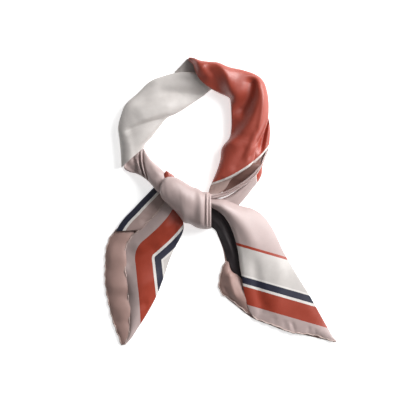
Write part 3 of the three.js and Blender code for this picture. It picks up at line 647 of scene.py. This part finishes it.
TAIL_LEFT_TURN = [
    (-72, 21, -56, 4, 10.5, 2.2, 0.5, 0.3),
    (-80, 17.2, -64, -1, 11.5, 2.2, 0.5, 0.3),
    (-88.5, 8.7, -68, -6, 12, 2.2, 0.5, 0.25),
    (-97.5, -0.5, -72, -12, 11.5, 2.2, 0.5, 0.25),
    (-106, -9.7, -77, -20, 11, 2.2, 0.5, 0.25),
    (-114.5, -18.2, -85, -28, 10, 2.2, 0.5, 0.3),
    (-121.3, -27, -93, -33, 9, 2.2, 0.5, 0.4),
    (-126, -35.5, -99, -34.5, 8, 2.2, 0.5, 0.5),
]
TAIL_LEFT_TURN_FOLDS = [
    (-84, 14, -104, -4, -120, -24, 1.2, 4, 4, 0.2),
    (-72, 4, -84, -12, -96, -30, -2.6, 4, 5, 0.1),
]
TAIL_LEFT_FRONT = [
    (-60, 6, -38, -12, 11, 9, 4),
    (-68, -1, -44.8, -22, 10.4, 9, 5),
    (-75, -11, -44.5, -31, 10, 6, 6),
    (-85, -22, -47, -40, 8.4, 3.5, 6.5),
    (-96, -32, -52.3, -50, 6.2, 2.8, 6),
    (-107, -42, -57.8, -61, 4.4, 2.8, 5.6),
    (-114, -54, -62.7, -73, 4.2, 2.8, 5.2),
    (-116.3, -67, -66.8, -86, 4.4, 2.6, 5),
    (-115, -82, -71.3, -98, 4.6, 2.2, 4.8),
    (-113.3, -98, -76.3, -111, 4.2, 1.2, 5.5),
    (-111.6, -114, -83.3, -125, 3.8, 1.2, 5),
    (-110.4, -130, -90.8, -138, 3.4, 1.2, 4.2),
    (-109.8, -145, -99.8, -152, 3, 1.2, 3),
    (-111, -160, -107.6, -164, 2.6, 1.4, 1.5),
    (-116.2, -171.6, -115.4, -172.6, 2.2, 1.8, 0.4),
]
TAIL_LEFT_FRONT_FOLDS = [
    (-110, -62, -84, -42, -52, -22, 2.6, 9, 8, 0.1),
    (-120, -84, -98, -66, -70, -50, -2, 8, 9, 0.1),
    (-116, -112, -98, -96, -66, -92, 1.8, 10, 9, 0),
    (-70, -2, -62, -10, -50, -18, -1.6, 3, 5, 0.2),
    (-114, -134, -100, -122, -84, -122, -1, 6, 6, 0),
    (-50, -24, -49, -36, -54, -52, 1.4, 2, 3, 0.3),
]
TAIL_LEFT_FLAP = [
    (-120, -29, -104, -29, 2, 3, 1),
    (-132.2, -42, -105, -42, 1.8, 2.6, 3.6),
    (-137.6, -58, -110, -56, 1.8, 2.4, 4.4),
    (-138.6, -76, -110, -74, 1.8, 2.4, 4.6),
    (-139, -92, -109, -90, 1.8, 2.4, 4.4),
    (-137.4, -108, -107, -106, 1.8, 2.4, 4.4),
    (-134.2, -124, -106, -122, 1.8, 2.2, 4),
    (-130.2, -141, -106, -138, 1.8, 2.2, 3.4),
    (-125, -156, -107, -153, 1.8, 2, 2.4),
    (-121.2, -166, -110.8, -164, 1.8, 1.9, 1.2),
    (-119.4, -171.8, -115.6, -171.4, 1.6, 1.7, 0.3),
]
TAIL_LEFT_FLAP_FOLDS = [
    (-146, -50, -126, -44, -100, -56, -1, 8, 7, 0),
    (-146, -68, -124, -62, -100, -72, 0.6, 7, 7, 0),
    (-146, -80, -124, -88, -100, -80, -0.6, 8, 7, 0),
    (-146, -102, -124, -98, -100, -106, 0.7, 7, 6, 0),
    (-144, -116, -122, -110, -98, -118, -0.9, 6, 6, 0),
    (-142, -130, -120, -124, -98, -132, 0.6, 6, 6, 0),
    (-136, -146, -119, -144, -100, -146, -0.8, 6, 6, 0),
]
TAIL_LEFT_BACK = [
    (-123, -31, -60, -32, 0.4, 0.4, 0),
    (-132.6, -41.5, -49.5, -43, 0.4, 0.4, 0),
    (-138, -58, -57, -57, 0.4, 0.4, 0),
    (-138.9, -76, -64, -72, 0.4, 0.4, 0),
    (-139.2, -92, -68, -86, 0.4, 0.4, 0),
    (-137.7, -108, -73, -100, 0.4, 0.4, 0),
    (-134.4, -124, -80, -116, 0.4, 0.4, 0),
    (-130.4, -141, -89.5, -133, 0.4, 0.4, 0),
    (-125.4, -156, -101, -151, 0.4, 0.4, 0),
    (-121.4, -167, -110.5, -165, 0.4, 0.4, 0),
    (-119.8, -172.4, -116.5, -171.8, 0.4, 0.4, 0),
]
TAIL_RIGHT_FRONT = [
    (-24, 3, -24, -6, 15, 15, 4),
    (-12, 3.5, -12, -7.5, 15, 15, 6),
    (0, 3.2, -1, -13.5, 13, 14, 7),
    (12, -0.8, 7, -22.5, 11, 12.6, 7),
    (24, -5.3, 13, -34, 9, 11.4, 7),
    (37, -8.5, 17.5, -48, 7, 10.4, 7),
    (49, -16, 20.5, -62, 6, 9.4, 7),
    (58.5, -27.5, 22.5, -78, 5, 8.6, 6.6),
    (66, -41, 25, -92, 4.4, 7.8, 6),
    (72.3, -55, 27.3, -108, 3.8, 6, 5.4),
    (79.3, -68.5, 32, -126, 3.2, 4, 4.8),
    (88, -83, 39, -138.5, 2.8, 2.8, 3.2),
    (96, -96, 51, -144, 2.4, 3.4, 2.2),
    (104, -109, 66, -149.3, 2.2, 3.6, 1.5),
    (112, -123, 83, -156.3, 2, 3.4, 1.2),
    (120, -137.5, 99, -158.6, 1.8, 3, 1.2),
    (128, -151.5, 113, -160.3, 1.4, 2.2, 2),
    (134, -162, 126, -164.8, 1.6, 2.2, 1),
    (138.7, -167.3, 138, -168.2, 1.8, 2, 0.3),
]
TAIL_RIGHT_FRONT_FOLDS = [
    (-10, 0, 26, -10, 46, -70, 1.8, 9, 8, 0),
    (10, -22, 26, -46, 28, -110, 0.5, 3, 3, 0.1),
    (54, -140, 40, -104, 40, -60, -2.4, 7, 8, 0),
    (66, -150, 66, -110, 76, -60, 1.2, 9, 9, 0),
    (62, -157, 63, -149, 65, -136, -0.5, 3, 3, 0),
    (76, -162, 75, -152, 76, -140, -0.6, 2.6, 3, 0.1),
    (89, -165, 88, -154, 84, -142, -0.9, 2.6, 2.4, 0.1),
    (82, -163, 82, -154, 83, -144, 0.5, 2.6, 2.2, 0),
    (103, -168, 103, -159, 107, -148, -0.7, 2.2, 2.2, 0.1),
    (113, -168, 112, -160, 114, -151, -0.5, 2, 2, 0),
    (40, -148, 44, -138, 50, -126, -1.2, 4, 4, 0),
]
TAIL_RIGHT_INNER = [
    (-8, 0, -24, -28, 8, 5, 3),
    (0, -8, -13, -30.5, 6, 3, 3),
    (10, -20, -6.5, -35, 5, 1.5, 3.4),
    (18, -33, -1.5, -45, 4, 1.2, 3.4),
    (24, -48, 3.5, -57, 3.4, 1.2, 3),
    (28, -63, 6.5, -68.5, 3, 1.2, 2.4),
    (30, -78, 9, -80, 2.6, 1.2, 1.8),
    (33, -92, 14, -90, 2.2, 1.2, 1),
    (37, -104, 24, -103, 1.8, 1.2, 0.6),
]
TAIL_RIGHT_INNER_FOLDS = [
    (-14, -18, 4, -34, 14, -66, 1.6, 3, 3, 0.3),
    (-4, -14, 14, -36, 19, -74, -1.6, 2.6, 2.6, 0.2),
    (4, -58, 8, -70, 14, -84, 1, 2, 2, 0.3),
]
TAIL_RIGHT_CURL = [
    (9, -72.5, 6, -70.8, 3, 2.6, 0.5),
    (12.5, -83, 1, -81.5, 3.6, 2.2, 3),
    (21, -89, -1.6, -93, 4, 1.8, 4),
    (28, -97.5, -2.2, -102.5, 4.4, 1.6, 4),
    (32, -108, 1.6, -110.8, 4.4, 1.6, 3.6),
    (33.5, -119, 11, -117.2, 3.8, 1.6, 2.6),
    (34, -128, 21, -125.3, 2.8, 1.6, 1),
    (38.5, -137.6, 33, -134.8, 2, 1.6, 0.3),
]
TAIL_RIGHT_CURL_FOLDS = [
    (10, -82, 10, -98, 20, -120, 2.2, 4, 5, 0.2),
    (16, -86, 24, -96, 30, -112, -1.8, 3, 4, 0.1),
    (2, -100, 6, -110, 18, -120, -1.2, 3, 3, 0.2),
]
TAIL_RIGHT_BACK = [
    (8, -22, -5, -38, 0.4, 0.4, 0),
    (24, -42, 3, -60, 0.4, 0.4, 0),
    (42, -50, 5, -84, 0.4, 0.4, 0),
    (64, -48, 0, -107, 0.4, 0.4, 0),
    (79, -70, 20, -126.6, 0.4, 0.4, 0),
    (90, -88, 38.5, -140.3, 0.4, 0.4, 0),
    (101, -106, 58, -148, 0.4, 0.4, 0),
    (112, -124.6, 80, -156.3, 0.4, 0.4, 0),
    (123, -144, 104, -161, 0.4, 0.4, 0),
    (134, -163, 124, -165.8, 0.4, 0.4, 0),
    (138.4, -168.3, 136.5, -168.8, 0.4, 0.4, 0),
]

# Where a band of colour starts, as lines in plan


def from_edge(rows, edge):
    """Distance in plan from edge a or b of a stretch."""
    columns = SHEET if len(rows[0]) == len(SHEET) else ROLL
    row = along(columns, rows, EDGE_POINTS)
    return lambda x, y: nearest(row[edge + "x"], row[edge + "y"], x, y)[0]


def from_lower_hem(x, y):
    """Distance in plan from a straight line along the hem of the right corner."""
    return nearest(np.array([-60.0, 138.0]), np.array([-111.0, -168.5]), x, y)[0]


# The rim that ends the rust ground, read from the photograph.
RIM = [
    (-18, 20),
    (-11, 22.3),
    (0, 26),
    (8, 29.2),
    (16, 33.2),
    (24, 38),
    (31, 42.4),
    (39, 48.6),
    (47, 55.4),
    (54.5, 64),
    (58, 69),
    (62, 76),
]
# The edge of the rust ground on the outer wing.
WING_RIM = [(56, 47), (47, 43.6), (42.4, 33), (42.6, 28), (43.8, 22), (45.5, 16)]


def past(line, x, y):
    """Signed distance in plan from a line: positive on its right."""
    px, py = np.array(line).T
    away, side, _ = nearest(px, py, x, y)
    return np.where(side > 0, -away, away)


def past_wing_rim(x, y):
    """Three times the signed distance from the rust edge of the wing, whose pale rim is a
    third as wide: positive on the blush side."""
    return 3 * past(WING_RIM, x, y)


def past_rim(x, y):
    """Signed distance from the white rim that ends the rust ground: positive below it."""
    return past(RIM, x, y)


def inside_rust_ground(x, _):
    """Everywhere on the rust ground, well away from its rim."""
    return np.full_like(x, -9.0)


# The stretches, each in place of its solid


def place(obj, node, slot, flat, area=None, with_pieces=()):
    """Puts a finished stretch in place of its solid: hides the solid and hangs the stretch and its
    pieces on the root body. Its flat width and length in millimetres and its area as a share of
    that rectangle are not used."""
    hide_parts(node)
    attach(obj, "root")
    for piece in with_pieces:
        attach(piece, "root")


def hemmed(name, grid, column, inward, seed):
    """The rolled hem and its stitches along one side of a stretch's grid."""
    edge = grid[:, column].copy()
    hem, path, side = rolled_hem(name + "_hem", edge, hem_silk, seed)
    return [hem, stitches(name + "_stitches", path, side, thread, inward)]


def build_loop():
    grid = roll(LOOP_LEFT, LOOP_LEFT_FOLDS, 190, 90, unrest=0.25, seed=3)
    place(cloth("ivory_loop", grid, ivory_silk, True), "loop_left", "ivory_silk", (94, 159))
    grid = sheet(LOOP_TUCK, [], 50, 30, seed=4)
    place(cloth("ivory_tuck", grid, painted_shade_ivory_silk), "loop_tuck", "ivory_silk", (20, 32))
    grid = roll(LOOP_RIGHT, LOOP_RIGHT_FOLDS, 280, 100, lean=-0.3, unrest=0.1, seed=5)
    rust = cloth("rust_loop", grid, rust_silk, True, past_rim)
    place(rust, "loop_right", "rust_silk", (105, 210))
    grid = sheet(LOOP_RIGHT_UNDER, LOOP_RIGHT_UNDER_FOLDS, 60, 40, 0.5, seed=6)
    under = cloth("rust_under", grid, rust_silk, measure=past_rim)
    place(under, "loop_right_under", "rust_silk", (26, 45))


def build_neck():
    grid = roll(NECK_LEFT, NECK_LEFT_FOLDS, 130, 110, seed=7, unrest=0.2)
    place(cloth("pleated_neck", grid, blush_silk, True), "neck_left", "blush_silk", (69, 73))
    grid = sheet(NECK_RIGHT_INNER, [], 90, 40, seed=8)
    place(cloth("neck_inner", grid, painted_shade_blush_silk), "neck_right_inner", "blush_silk", (14.5, 80))
    grid = roll(NECK_RIGHT_PLEAT, NECK_RIGHT_PLEAT_FOLDS, 150, 60, 2, seed=9, unrest=0.1)
    pleat = cloth("neck_pleat", grid, blush_silk, True)
    place(pleat, "neck_right_pleat", "blush_silk", (28, 90))
    grid = sheet(NECK_RIGHT_OUTER, NECK_RIGHT_OUTER_FOLDS, 100, 50, 0.8, seed=10)
    wing = cloth("neck_outer", grid, wing_silk, measure=past_wing_rim)
    place(wing, "neck_right_outer", "blush_silk", (17, 78))


def build_knot():
    grid = roll(KNOT, KNOT_FOLDS, 150, 110, lean=-0.2, seed=11, unrest=0.15)
    place(cloth("knot_wrap", grid, blush_silk, True), "knot", "blush_silk", (150, 60))
    grid = sheet(KNOT_TUCK, [], 30, 20, seed=12)
    tuck = cloth("knot_corner", grid, rust_silk, measure=inside_rust_ground)
    place(tuck, "knot_tuck", "rust_silk", (13, 13))


def build_left_corner():
    grid = roll(TAIL_LEFT_TURN, TAIL_LEFT_TURN_FOLDS, 100, 50, 2, seed=13)
    turn = cloth("left_turn", grid, turned_silk, True, from_edge(TAIL_LEFT_TURN, "a"))
    place(turn, "tail_left_turn", "blush_silk", (65, 66))
    grid = sheet(TAIL_LEFT_FRONT, TAIL_LEFT_FRONT_FOLDS, 190, 70, seed=14)
    front = cloth("left_front", grid, bordered_silk, measure=from_edge(TAIL_LEFT_FRONT, "a"))
    hem = hemmed("left_front", grid, 0, 1, 21)
    place(front, "tail_left_front", "bordered_silk", (50, 195), 0.71, hem)
    grid = sheet(TAIL_LEFT_FLAP, TAIL_LEFT_FLAP_FOLDS, 160, 50, 0.8, seed=15)
    flap = cloth("left_flap", grid, reverse_silk, measure=from_edge(TAIL_LEFT_FLAP, "a"))
    hem = hemmed("left_flap", grid, 0, 1, 22)
    place(flap, "tail_left_flap", "reverse_silk", (30, 145), 0.9, hem)
    grid = sheet(TAIL_LEFT_BACK, [], 120, 40, unrest=0, seed=16)
    back = cloth("left_back", grid, reverse_silk, measure=from_edge(TAIL_LEFT_BACK, "a"))
    place(back, "tail_left_back", "reverse_silk", (82, 155), 0.63)


BARE_ROWS = 138  # rows of the right corner's front before its hem comes into sight


def build_right_corner():
    grid = sheet(TAIL_RIGHT_FRONT, TAIL_RIGHT_FRONT_FOLDS, 230, 80, 0.85, seed=17)
    front = cloth("right_front", grid, bordered_silk, measure=from_lower_hem)
    hem = hemmed("right_front", grid[BARE_ROWS:], -1, -1, 23)
    place(front, "tail_right_front", "bordered_silk", (62, 215), 0.83, hem)
    grid = sheet(TAIL_RIGHT_INNER, TAIL_RIGHT_INNER_FOLDS, 100, 40, seed=18)
    inner = cloth("right_inner", grid, charcoal_silk)
    place(inner, "tail_right_inner", "charcoal_silk", (24, 115), 0.88)
    grid = sheet(TAIL_RIGHT_CURL, TAIL_RIGHT_CURL_FOLDS, 90, 50, seed=19)
    curl = cloth("right_curl", grid, reverse_silk, measure=from_edge(TAIL_RIGHT_CURL, "b"))
    hem = hemmed("right_curl", grid, -1, -1, 24)
    place(curl, "tail_right_curl", "bordered_silk", (26, 78), 0.7, hem)
    grid = sheet(TAIL_RIGHT_BACK, [], 150, 50, unrest=0, seed=20)
    back = cloth("right_back", grid, reverse_silk, measure=from_edge(TAIL_RIGHT_BACK, "b"))
    place(back, "tail_right_back", "reverse_silk", (76, 180), 0.72)


# The table, the light and the camera


FLOOR_HALF = 4000  # half the width of the table
FLOOR_TOP = -0.05  # a hair below the scarf
# Each light: name, place and width in metres, power in watts
LIGHTS = [
    ("window", (1.05, 0.68, 0.8), 1.0, 34),
    ("ceiling", (0.55, 0.4, 1.75), 1.6, 4.5),
]


def build_stage():
    """A white table that glows a little, as a light box does, a soft window light from
    the upper right and a weak fill from above on the same side."""
    paper = bpy.data.materials.new("white paper")
    paper.use_nodes = True
    shader = paper.node_tree.nodes["Principled BSDF"]
    shader.inputs["Base Color"].default_value = linear("fbfbfb")
    shader.inputs["Roughness"].default_value = 0.9
    shader.inputs["Emission Color"].default_value = linear("ffffff")
    shader.inputs["Emission Strength"].default_value = 0.6
    corners = np.array([(-1, -1, 0), (1, -1, 0), (1, 1, 0), (-1, 1, 0)]) * float(FLOOR_HALF)
    corners[:, 2] = FLOOR_TOP
    floor = mesh_object("floor", corners, [[0, 1, 2, 3]], paper)
    world = bpy.data.worlds.new("room")
    world.use_nodes = True
    world.node_tree.nodes["Background"].inputs["Color"].default_value = linear("ffffff")
    world.node_tree.nodes["Background"].inputs["Strength"].default_value = 0.11
    bpy.context.scene.world = world
    for name, spot, size, power in LIGHTS:
        data = bpy.data.lights.new(name, "AREA")
        data.size = size
        data.energy = power
        light = bpy.data.objects.new(name, data)
        light.location = spot
        light.rotation_euler = (-Vector(spot)).to_track_quat("-Z", "Y").to_euler()
        bpy.context.scene.collection.objects.link(light)
    bpy.context.scene.view_settings.view_transform = "Standard"


CENTRE = (-15.6, -7.8)  # what the middle of the photograph looks at
VIEW = 499.2  # width of the photograph at the table
LENS, SENSOR = 200, 36


def build_camera():
    """A long lens straight above, with the tails towards the bottom of the picture."""
    data = bpy.data.cameras.new("overhead")
    data.lens = LENS
    data.sensor_width = SENSOR
    data.clip_end = 20
    camera = bpy.data.objects.new("overhead", data)
    camera.location = (CENTRE[0] * MM, CENTRE[1] * MM, VIEW * MM * LENS / SENSOR)
    bpy.context.scene.collection.objects.link(camera)
    bpy.context.scene.camera = camera


build_camera()
build_stage()
build_loop()
build_neck()
build_knot()
build_left_corner()
build_right_corner()
